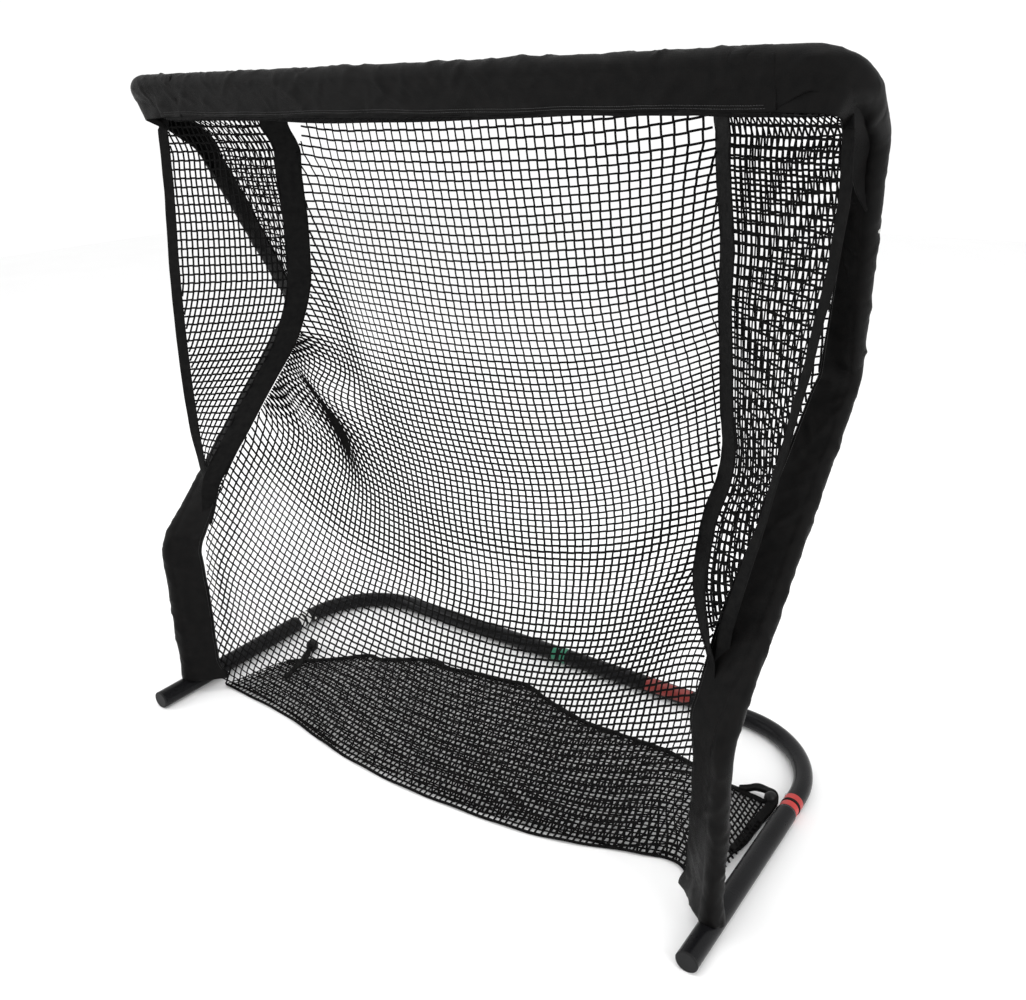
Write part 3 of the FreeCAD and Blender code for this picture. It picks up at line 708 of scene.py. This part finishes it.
tw = np.interp(np.linspace(0, 1, len(curve_on(TAPE, 5))), [0, 0.8, 1], [59, 52, 30]) / 2
tape_c = curve_on([(x, y, z) for z, x, y in TAPE], 5)
tape_in = tape_c + np.stack([-tw * ca, tw * sa, 0 * tw], -1)
tape_out = tape_c + np.stack([tw * ca, -tw * sa, 0 * tw], -1)
strip_c = curve_on([(x, y, z) for z, x, y in STRIP], 5)
sx = np.array([np.interp(z, tape_c[::-1, 2], tape_c[::-1, 0]) for z in strip_c[:, 2]])
sy = np.array([np.interp(z, tape_c[::-1, 2], tape_c[::-1, 1]) for z in strip_c[:, 2]])
sdir = unit(np.stack([sx - strip_c[:, 0], sy - strip_c[:, 1], 0 * sx], -1))
strip_in = strip_c + sdir * 12.25
strip_out = strip_c - sdir * 12.25

for side, sg in (("right", 1.0), ("left", -1.0)):
    f = np.array([sg, 1.0, 1.0])
    a, b = (tape_in, tape_out) if sg > 0 else (tape_out, tape_in)
    ob = slab("wing_tape_webbing_" + side, mm(a * f), mm(b * f), 0.0018, 13, MATS["binding_tape"], wave=0.0022, seed=6 + int(sg))
    piece(ob, "binding_tape", "wing_tape_" + side)
    a, b = (strip_in, strip_out) if sg > 0 else (strip_out, strip_in)
    ob = slab("wing_strip_webbing_" + side, mm(a * f), mm(b * f), 0.0018, 7, MATS["binding_tape"], wave=0.0012, seed=16 + int(sg))
    piece(ob, "binding_tape", "wing_strip_" + side)

# ---------------------------------------------------------------------------
# Main net: a spline sheet in column number i and row number j, one mesh a unit
# ---------------------------------------------------------------------------
CTRL = np.array([
    [(-2289, -821, 1614), (-2056, -757, 1561), (-1825, -685, 1511), (-1598, -598, 1463), (-1382, -494, 1421), (-1186, -379, 1384), (-1019, -260, 1352), (-885, -145, 1322), (-777, -47, 1298), (-687, 5, 1288), (-609, -1, 1284), (-564, -12, 1222), (-586, -15, 1037), (-587, -50, 862), (-710, -27, 686), (-900, 40, 512), (-1066, 116, 322), (-1207, 186, 124), (-1334, 243, -73), (-1457, 293, -268)],
    [(-2093, -611, 1631), (-1862, -572, 1554), (-1636, -528, 1481), (-1420, -469, 1412), (-1220, -388, 1351), (-1039, -284, 1301), (-889, -165, 1260), (-778, -46, 1219), (-711, 67, 1162), (-679, 168, 1076), (-642, 196, 996), (-522, 130, 975), (-618, 141, 737), (-572, 50, 679), (-716, 63, 552), (-872, 93, 419), (-952, 133, 261), (-1047, 172, 87), (-1162, 211, -95), (-1285, 258, -282)],
    [(-1896, -402, 1651), (-1665, -385, 1548), (-1443, -365, 1450), (-1238, -335, 1361), (-1058, -282, 1282), (-900, -193, 1217), (-763, -65, 1165), (-669, 66, 1117), (-637, 157, 1052), (-650, 268, 920), (-694, 450, 689), (-624, 289, 664), (-585, 200, 615), (-668, 199, 518), (-731, 176, 416), (-774, 123, 312), (-815, 137, 201), (-880, 144, 61), (-994, 175, -113), (-1117, 229, -297)],
    [(-1691, -206, 1676), (-1462, -195, 1543), (-1241, -189, 1417), (-1044, -185, 1309), (-893, -168, 1221), (-777, -104, 1140), (-655, 34, 1064), (-573, 213, 1008), (-579, 260, 949), (-601, 202, 877), (-574, 372, 686), (-525, 283, 622), (-419, 138, 598), (-520, 160, 477), (-567, 139, 374), (-623, 115, 277), (-659, 111, 165), (-705, 65, 68), (-834, 142, -129), (-948, 209, -306)],
    [(-1462, -35, 1704), (-1250, -8, 1544), (-1029, 6, 1380), (-841, -4, 1253), (-708, -25, 1181), (-671, 21, 1085), (-574, 128, 973), (-539, 327, 903), (-601, 349, 816), (-508, 349, 765), (-422, 341, 628), (-396, 239, 591), (-303, 124, 552), (-388, 144, 438), (-443, 134, 332), (-485, 114, 229), (-522, 92, 137), (-539, 52, 50), (-652, 130, -126), (-762, 176, -291)],
    [(-1181, 95, 1724), (-1026, 161, 1552), (-798, 215, 1344), (-664, 211, 1196), (-511, 167, 1170), (-497, 295, 1056), (-523, 353, 940), (-586, 512, 788), (-612, 371, 769), (-470, 334, 713), (-383, 325, 593), (-288, 229, 548), (-179, 94, 536), (-258, 132, 405), (-305, 124, 317), (-342, 91, 212), (-372, 86, 132), (-410, 50, 23), (-473, 80, -99), (-562, 117, -259)],
    [(-819, 176, 1725), (-748, 298, 1528), (-544, 407, 1341), (-549, 399, 1232), (-546, 442, 1107), (-568, 486, 980), (-607, 559, 851), (-544, 516, 759), (-410, 416, 717), (-336, 363, 640), (-232, 284, 586), (-165, 198, 550), (-48, 74, 535), (-154, 137, 405), (-166, 109, 293), (-181, 79, 228), (-207, 55, 127), (-230, 30, 61), (-321, 17, -86), (-357, 60, -230)],
    [(-413, 204, 1737), (-318, 304, 1450), (-398, 355, 1337), (-379, 370, 1220), (-401, 408, 1103), (-412, 444, 991), (-443, 511, 859), (-358, 457, 768), (-287, 398, 697), (-185, 330, 640), (-111, 243, 599), (-8, 148, 571), (48, 73, 526), (-52, 160, 370), (-13, 88, 298), (-38, 86, 224), (-41, 46, 134), (-56, 19, 53), (-63, -2, -44), (-129, 35, -197)],
    [(-147, 209, 1787), (-174, 259, 1470), (-225, 326, 1345), (-238, 373, 1224), (-255, 414, 1104), (-270, 449, 985), (-303, 518, 850), (-223, 453, 769), (-131, 379, 710), (-40, 302, 656), (29, 220, 611), (145, 90, 608), (82, 180, 448), (91, 138, 381), (90, 103, 297), (95, 85, 214), (90, 54, 129), (84, 35, 64), (88, 3, -25), (25, 24, -187)],
    [(34, 221, 1826), (-35, 262, 1458), (-62, 315, 1344), (-86, 360, 1227), (-100, 409, 1100), (-117, 451, 980), (-151, 523, 859), (-65, 439, 783), (10, 367, 721), (105, 295, 668), (169, 198, 635), (265, 80, 621), (203, 176, 473), (213, 133, 385), (198, 114, 299), (199, 96, 230), (185, 67, 136), (179, 43, 66), (151, 25, -50), (97, 33, -183)],
    [(173, 233, 1854), (131, 246, 1465), (88, 296, 1352), (63, 362, 1233), (49, 406, 1113), (28, 446, 1003), (6, 520, 869), (86, 440, 793), (167, 357, 747), (242, 270, 705), (318, 176, 669), (383, 78, 645), (307, 189, 484), (315, 152, 403), (303, 121, 312), (290, 99, 242), (276, 76, 156), (272, 51, 77), (251, 27, 9), (144, 55, -164)],
    [(266, 280, 1864), (268, 241, 1471), (237, 292, 1352), (213, 356, 1250), (198, 397, 1132), (187, 441, 1015), (166, 530, 892), (242, 429, 833), (312, 351, 786), (378, 277, 738), (452, 172, 717), (493, 83, 668), (412, 193, 516), (420, 161, 427), (382, 148, 333), (381, 116, 241), (361, 96, 162), (346, 72, 81), (336, 41, 15), (222, 97, -209)],
    [(333, 407, 1834), (351, 276, 1469), (405, 280, 1365), (349, 375, 1264), (349, 400, 1148), (352, 418, 1057), (318, 513, 942), (420, 369, 904), (438, 362, 840), (512, 239, 815), (603, 86, 801), (612, 50, 740), (518, 205, 559), (498, 190, 464), (491, 146, 374), (457, 141, 273), (460, 118, 172), (439, 90, 69), (422, 76, -31), (351, 162, -298)],
    [(431, 628, 1771), (456, 473, 1496), (535, 262, 1372), (507, 367, 1304), (476, 418, 1191), (515, 331, 1129), (467, 503, 998), (584, 281, 996), (547, 393, 895), (595, 291, 853), (581, 352, 733), (600, 299, 663), (682, 47, 702), (568, 242, 496), (564, 175, 419), (565, 170, 292), (538, 134, 209), (526, 124, 103), (514, 98, -13), (506, 199, -319)],
    [(580, 847, 1721), (624, 656, 1548), (650, 436, 1399), (640, 356, 1339), (623, 344, 1284), (663, 308, 1165), (688, 280, 1136), (762, 154, 1103), (701, 226, 1033), (742, 303, 943), (772, 357, 839), (800, 250, 794), (809, 29, 799), (744, 72, 640), (662, 130, 515), (678, 164, 361), (622, 158, 255), (620, 139, 133), (588, 104, 63), (626, 193, -236)],
    [(740, 1051, 1682), (764, 818, 1569), (773, 592, 1460), (777, 404, 1385), (790, 283, 1328), (825, 198, 1266), (872, 112, 1238), (900, 80, 1200), (898, 135, 1138), (917, 233, 1053), (951, 262, 977), (966, 178, 926), (939, 53, 876), (874, -6, 789), (783, 21, 680), (727, 75, 547), (716, 114, 393), (720, 125, 239), (706, 130, 97), (725, 170, -117)],
], float)
I0, IH, NI = -89.72155616, 6.93934338, 16
J0, JH, NJ = -23.70588235, 6.23529412, 20


def bspline_weights(x, k0, h, n):
    u = (np.asarray(x, float) - k0) / h - 3.0
    u = np.clip(u, 0.0, n - 3 - 1e-6)
    s = np.floor(u).astype(int)
    t = u - s
    w = np.stack([(1 - t) ** 3, 3 * t**3 - 6 * t**2 + 4, -3 * t**3 + 3 * t**2 + 3 * t + 1, t**3], -1) / 6.0
    return s, w


def raw_net(i, j):
    si, wi = bspline_weights(i, I0, IH, NI)
    sj, wj = bspline_weights(j, J0, JH, NJ)
    out = np.zeros((len(si), 3))
    for a in range(4):
        for b in range(4):
            out += CTRL[si + a, sj + b] * (wi[:, a] * wj[:, b])[:, None]
    return out


# side seams: row, column, and where that point of the seam is
SEAM_L = np.array([(-2, -30.5, -525, 334, 1404), (0, -30.8, -525, 344, 1390), (4.2, -32.6, -524, 365, 1287), (7.8, -33.1, -528, 373, 1217),
                   (13.2, -34.7, -531, 375, 1126), (18.6, -37, -538, 371, 1037), (22.5, -39.4, -547, 361, 984), (27.3, -42.1, -561, 340, 918),
                   (37.1, -49.6, -577, 318, 870), (46.5, -55.5, -592, 280, 815), (58.7, -63.8, -596, 222, 754), (63.5, -65, -605, 170, 690),
                   (69.8, -65.6, -631, 120, 609), (74.5, -66.4, -668, 96, 536), (80.4, -65.3, -672, 56, 440), (86.3, -62.7, -674, 42, 330),
                   (90.9, -60.3, -676, 36, 225), (95.8, -56.5, -684, 40, 80), (97.7, -54.2, -690, 52, 8)])
SEAM_R = np.array([(-2, 13.3, 525, 334, 1404), (1.2, 13.6, 525, 344, 1388), (7, 14.7, 522, 363, 1306), (13.9, 15.8, 529, 374, 1215),
                   (21.7, 14.8, 532, 374, 1098), (29.3, 13.7, 542, 367, 1006), (38, 13.5, 562, 339, 915), (45.4, 13.2, 588, 295, 834),
                   (49.9, 11.8, 596, 247, 779), (52.3, 11, 596, 219, 751), (55.8, 10.5, 601, 188, 712), (61.2, 11, 612, 147, 659),
                   (66.5, 14.4, 636, 120, 606), (72.5, 17.9, 668, 90, 552), (77.2, 20.0, 673, 78, 484), (81.2, 20.4, 674, 70, 424),
                   (86.8, 20.8, 675, 58, 345), (93.2, 21.1, 678, 50, 205), (97.5, 21.2, 684, 44, 85), (100.6, 21.3, 690, 38, 8)])
J_END = np.array([(-54.2, 97.7), (-49.6, 97.2), (-42.4, 96.6), (-31.8, 97.2), (-25.9, 97.9), (-15.9, 98.6), (-2.8, 100.0), (6.8, 100.0), (14, 100.3), (21.3, 100.6)])


def seam_shift(table, j):
    p = np.stack([np.interp(j, table[:, 0], table[:, k]) for k in range(1, 5)], -1)
    return p[:, 0], p[:, 1:]


def main_surface(i, j):
    """The net's middle surface in mm; near each side it is drawn onto its seam."""
    i = np.asarray(i, float) + 0.0 * np.asarray(j, float)
    j = np.asarray(j, float) + 0.0 * i
    over = np.maximum(2.0 - j, 0.0)
    j = np.maximum(j, 2.0)
    p = raw_net(i, j)
    for table, sgn in ((SEAM_L, 1), (SEAM_R, -1)):
        ib, pb = seam_shift(table, j)
        d = (i - ib) * sgn
        w = np.exp(-np.maximum(d, 0.0) / 3.0)
        p = p + (pb - raw_net(ib, j)) * w[:, None]
    p[:, 2] = np.maximum(p[:, 2], 4.0) + 21.0 * over
    p[:, 1] -= 4.0 * over
    return p


def main_span(j):
    a = float(np.interp(j, SEAM_L[:, 0], SEAM_L[:, 1]))
    b = float(np.interp(j, SEAM_R[:, 0], SEAM_R[:, 1]))
    if j > 96.5:
        ii = np.linspace(a, b, 200)
        ok = ii[np.interp(ii, J_END[:, 0], J_END[:, 1]) >= j]
        if not len(ok):
            return 0.0, 0.0
        a, b = float(ok.min()), float(ok.max())
    return a, b


CORD_W, CORD_H = 0.0045, 0.0030
# front edge of the fold; the net's last rows are drawn up to it near the right foot
FRONT = np.array([(-700, 60), (415, 70), (476, 92), (540, 114), (590, 132), (632, 126), (664, 92), (700, 44)], float)


def held_back(p):
    lim = np.interp(p[:, 0], FRONT[:, 0], FRONT[:, 1])
    k = smooth01((p[:, 0] - 430.0) / 60.0) * (1.0 - smooth01((p[:, 2] - 40.0) / 160.0))
    q = p.copy()
    q[:, 1] += k * np.maximum(lim + 3.0 - p[:, 1], 0.0)
    return q


surf_m = lambda i, j: mm(held_back(main_surface(i, j)))
for name, lo, hi in (("main_net_upper", -1.9, 47.5), ("main_net_lower", 47.5, 100.5)):
    c = Cords(CORD_W, CORD_H)
    lattice(c, surf_m, main_span, lo, hi, -67, 22)
    ob = piece(c.build(name), "net_cord", "main_net")
    cols = float(np.mean([main_span(j)[1] - main_span(j)[0] for j in np.arange(lo, min(hi, 97.0), 1.0)]))


def ruled(a, b, sag=None, cell=21.3, cell_i=None):
    """Surface between two curves of equal length n, as a function of column and row in cells."""
    a, b = np.asarray(a, float), np.asarray(b, float)
    la = np.r_[0, np.cumsum(np.linalg.norm(np.diff(a, axis=0), axis=1))]
    width = np.linalg.norm(b - a, axis=1)
    cell_i = cell_i or cell

    def surf(i, j):
        i = np.asarray(i, float) + 0 * np.asarray(j, float)
        j = np.asarray(j, float) + 0 * i
        s = np.clip(j * cell, 0, la[-1])
        pa = np.stack([np.interp(s, la, a[:, k]) for k in range(3)], -1)
        pb = np.stack([np.interp(s, la, b[:, k]) for k in range(3)], -1)
        w = np.maximum(np.linalg.norm(pb - pa, axis=1), 1e-6)
        t = np.clip(i * cell_i / w, 0, 1.0)
        p = pa + (pb - pa) * t[:, None]
        if sag is not None:
            p = p + sag(t, s, w)
        return mm(p)

    def span(j):
        s = j * cell
        return 0.0, float(np.interp(s, la, width)) / cell_i

    return surf, span, la[-1] / cell, width.max() / cell_i, float(width.mean()) / 1000.0


def resample(c, n):
    s = np.r_[0, np.cumsum(np.linalg.norm(np.diff(c, axis=0), axis=1))]
    u = np.linspace(0, s[-1], n)
    return np.stack([np.interp(u, s, c[:, k]) for k in range(3)], -1)


def by_height(c, zs):
    o = np.argsort(c[:, 2])
    return np.stack([np.interp(zs, c[o, 2], c[o, 0]), np.interp(zs, c[o, 2], c[o, 1]), zs], -1)


# outer parts of the same net, from each tape's seam out to the upright's sleeve
zs = np.linspace(1423, 545, 120)
tip_mid = TIP_R[(path_r[:, 2] > 60) & (path_r[:, 2] < 1442) & (path_s < path_s[-1] - 230)]
seam_edge = by_height(tape_in, zs)
tip_edge = by_height(tip_mid, zs)
for side, sg in (("right", 1.0), ("left", -1.0)):
    f = np.array([sg, 1.0, 1.0])
    sag = lambda t, s, w: np.stack([0 * t, 10.0 * np.sin(math.pi * t) * np.sin(s / 110.0 + sg), -6.0 * np.sin(math.pi * t) * np.ones_like(s)], -1)
    surf, span, nj, ni, wide = ruled(seam_edge * f, tip_edge * f, sag, 19.0, 11.5)
    c = Cords(CORD_W, CORD_H)
    lattice(c, surf, span, 0.0, nj, 0, ni + 1)
    ob = piece(c.build("main_net_edge_" + side), "net_cord", "main_net")
    # wing net from the tape's front edge to the strip
    zw = np.linspace(1422, 590, 110)
    surf, span, nj, ni, wide = ruled(by_height(tape_out, zw) * f, by_height(strip_in, zw) * f,
                               lambda t, s, w: np.stack([0 * t, 5.0 * np.sin(math.pi * t) * np.sin(s / 140.0), 0 * t], -1), 20.0, 12.5)
    c = Cords(CORD_W, CORD_H)
    lattice(c, surf, span, 0.0, nj, 0, ni + 1)
    ob = piece(c.build("wing_netting_" + side), "net_cord", "wing_net_" + side)

# strip of net between the top sleeve's seam and the panel's top row
ri = np.linspace(-30.5, 13.3, 90)
rear_mid = main_surface(ri, np.full_like(ri, -1.85))
rear = np.vstack([[(-778, 262, 1420), (-650, 300, 1421)], rear_mid, [(650, 300, 1421), (778, 262, 1420)]])
rear = resample(rear, 160)
front = np.stack([np.interp(np.linspace(0, 1, 160), np.linspace(0, 1, 160), np.linspace(-700, 700, 160)), np.full(160, 144.0), np.full(160, 1424.0)], -1)
surf, span, nj, ni, wide = ruled(front, rear, lambda t, s, w: np.stack([0 * t, 0 * t, -5.0 * np.sin(math.pi * t)], -1))
c = Cords(CORD_W, CORD_H)
lattice(c, surf, span, 0.0, nj, 0, ni + 1)
ob = piece(c.build("main_net_top_return"), "net_cord", "main_net")

# ---------------------------------------------------------------------------
# Floor net, its binding and the two ties
# ---------------------------------------------------------------------------
fi = np.linspace(-54.2, 21.3, 120)
fold = main_surface(fi, np.interp(fi, J_END[:, 0], J_END[:, 1]))
fold = curve_on([(-690, 62, 5), (-560, 58, 5), (-434, 50, 5), (-300, 27, 5), (-188, 11, 5), (-26, 4, 5), (150, 16, 5), (293, 34, 5),
                 (400, 62, 5), (476, 92, 5), (540, 114, 5), (590, 132, 5), (632, 126, 5), (664, 92, 5), (700, 44, 5)], 12)
REAR = [(-640, 232, 5), (-600, 262, 6), (-569, 282, 6), (-515, 330, 6), (-462, 376, 8), (-425, 384, 5), (-380, 408, 6), (-308, 448, 8), (-230, 452, 5),
        (-147, 468, 7), (-60, 486, 5), (-8, 494, 8), (60, 476, 5), (140, 452, 6), (227, 440, 5), (300, 440, 8), (384, 447, 5),
        (440, 446, 6), (498, 434, 7), (560, 420, 5), (622, 410, 6), (680, 400, 9), (712, 396, 13)]
rearc = curve_on(REAR, 6)
n = 200


def floor_wave(t, s, w):
    z = 2.2 + 1.6 * np.sin(s / 61.0) * np.sin(t * 7.0) + 2.2 * np.sin(s / 133.0 + 4 * t) * np.sin(math.pi * t)
    return np.stack([6 * np.sin(s / 85.0 + 5 * t) * np.sin(math.pi * t), 0 * t, np.maximum(z, 0.0) * np.sin(math.pi * t)], -1)


FLOOR_CELL = 14.0
surf, span, nj, ni, wide = ruled(resample(fold, n), resample(rearc, n), floor_wave, FLOOR_CELL)
c = Cords(0.0050, 0.0028)
lattice(c, surf, span, 0.0, nj, 0, ni + 1)
floor_net = piece(c.build("floor_netting"), "net_cord", "floor_net")

# the fold's own thick edge along the front
fe = mm(resample(fold, 260))
fe[:, 2] = 0.0042
se = np.r_[0, np.cumsum(np.linalg.norm(np.diff(fe, axis=0), axis=1))]
fe[:, 2] += 0.0010 * np.sin(se / 0.021)
c = Cords(0.0090, 0.0064)
c.add(fe, np.tile([0.0, 0.0, 1.0], (len(fe), 1)))
piece(c.build("floor_fold_edge"), "net_cord", "floor_net")

# gathered strap of net and elastic drawn up to the left tie ball
sc = curve_on([(-624, 304, 12), (-612, 282, 9), (-602, 257, 8), (-590, 216, 8), (-574, 166, 8)], 10)
sw = np.interp(np.linspace(0, 1, len(sc)), [0, 0.25, 1], [5, 10, 6])[:, None]
across = unit(np.cross(unit(np.gradient(sc, axis=0)), [0, 0, 1.0]))
strap = slab("tie_strap_left", mm(sc - across * sw), mm(sc + across * sw), 0.0050, 7, MATS["binding_tape"], wave=0.0014, seed=8)
piece(strap, "binding_tape")

# rolled binding along the rear edge
bi = curve_on(REAR, 8)
bc = Cords(0.0095, 0.0085)
bp = mm(bi)
bt = unit(np.gradient(bp, axis=0))
bind_v, bind_q = [], []
m = 10
side_v = unit(np.cross(bt, np.array([0, 0, 1.0])))
sb = np.r_[0, np.cumsum(np.linalg.norm(np.diff(bp, axis=0), axis=1))]
for k in range(m):
    a = 2 * math.pi * k / m
    rr = 1.0 + 0.13 * np.sin(sb / 0.021 + 2 * a) + 0.08 * np.sin(sb / 0.008 + a)
    bind_v.append(bp + side_v * (0.0062 * math.cos(a) * rr)[:, None] + np.array([0, 0, 1.0]) * (0.0042 * math.sin(a) * rr)[:, None])
bv = np.stack(bind_v, 1)
bv[..., 2] = np.maximum(bv[..., 2], 0.0004)
idx = np.arange(len(bp) * m).reshape(len(bp), m)
nx = np.roll(idx, -1, axis=1)
q = np.stack([idx[:-1], nx[:-1], nx[1:], idx[1:]], -1).reshape(-1, 4)
buv = np.stack([np.repeat(sb[:, None], m, 1), np.tile(np.arange(m) * 0.0035, (len(bp), 1))], -1).reshape(-1, 2)
caps = [idx[0, [3, 2, 1, 0]], idx[0, [6, 5, 4, 3]], idx[0, [9, 8, 7, 6]], idx[0, [0, 9, 6, 3]],
        idx[-1, [0, 1, 2, 3]], idx[-1, [3, 4, 5, 6]], idx[-1, [6, 7, 8, 9]], idx[-1, [3, 6, 9, 0]]]
binding = mesh_object("floor_binding_roll", bv.reshape(-1, 3), np.vstack([q, caps]), MATS["binding_tape"], buv)
piece(binding, "binding_tape", "floor_net_binding")

# the rolled edge runs on round the net's right end, lying up against the base tube
ec = curve_on([(628, 412, 10), (665, 420, 22), (700, 410, 30), (714, 392, 28), (712, 372, 18), (706, 345, 11), (704, 309, 9), (703, 262, 8), (694, 222, 8)], 10)
ew = np.interp(np.linspace(0, 1, len(ec)), [0, 0.2, 0.5, 1], [6, 10, 11, 8])[:, None]
ea = unit(np.cross(unit(np.gradient(ec, axis=0)), [0.0, 0, 1.0]))
roll = slab("floor_edge_roll_right", mm(ec - ea * ew), mm(ec + ea * ew), 0.0085, 9, MATS["binding_tape"], wave=0.0022, seed=12)
piece(roll, "binding_tape", "floor_net_binding")

# ---------------------------------------------------------------------------
# Floor
# ---------------------------------------------------------------------------
g = 9.0
floor = mesh_object("studio_floor", [(-g, -g, 0), (g, -g, 0), (g, g, 0), (-g, g, 0)], [[0, 1, 2, 3]], floor_mat, smooth=False)
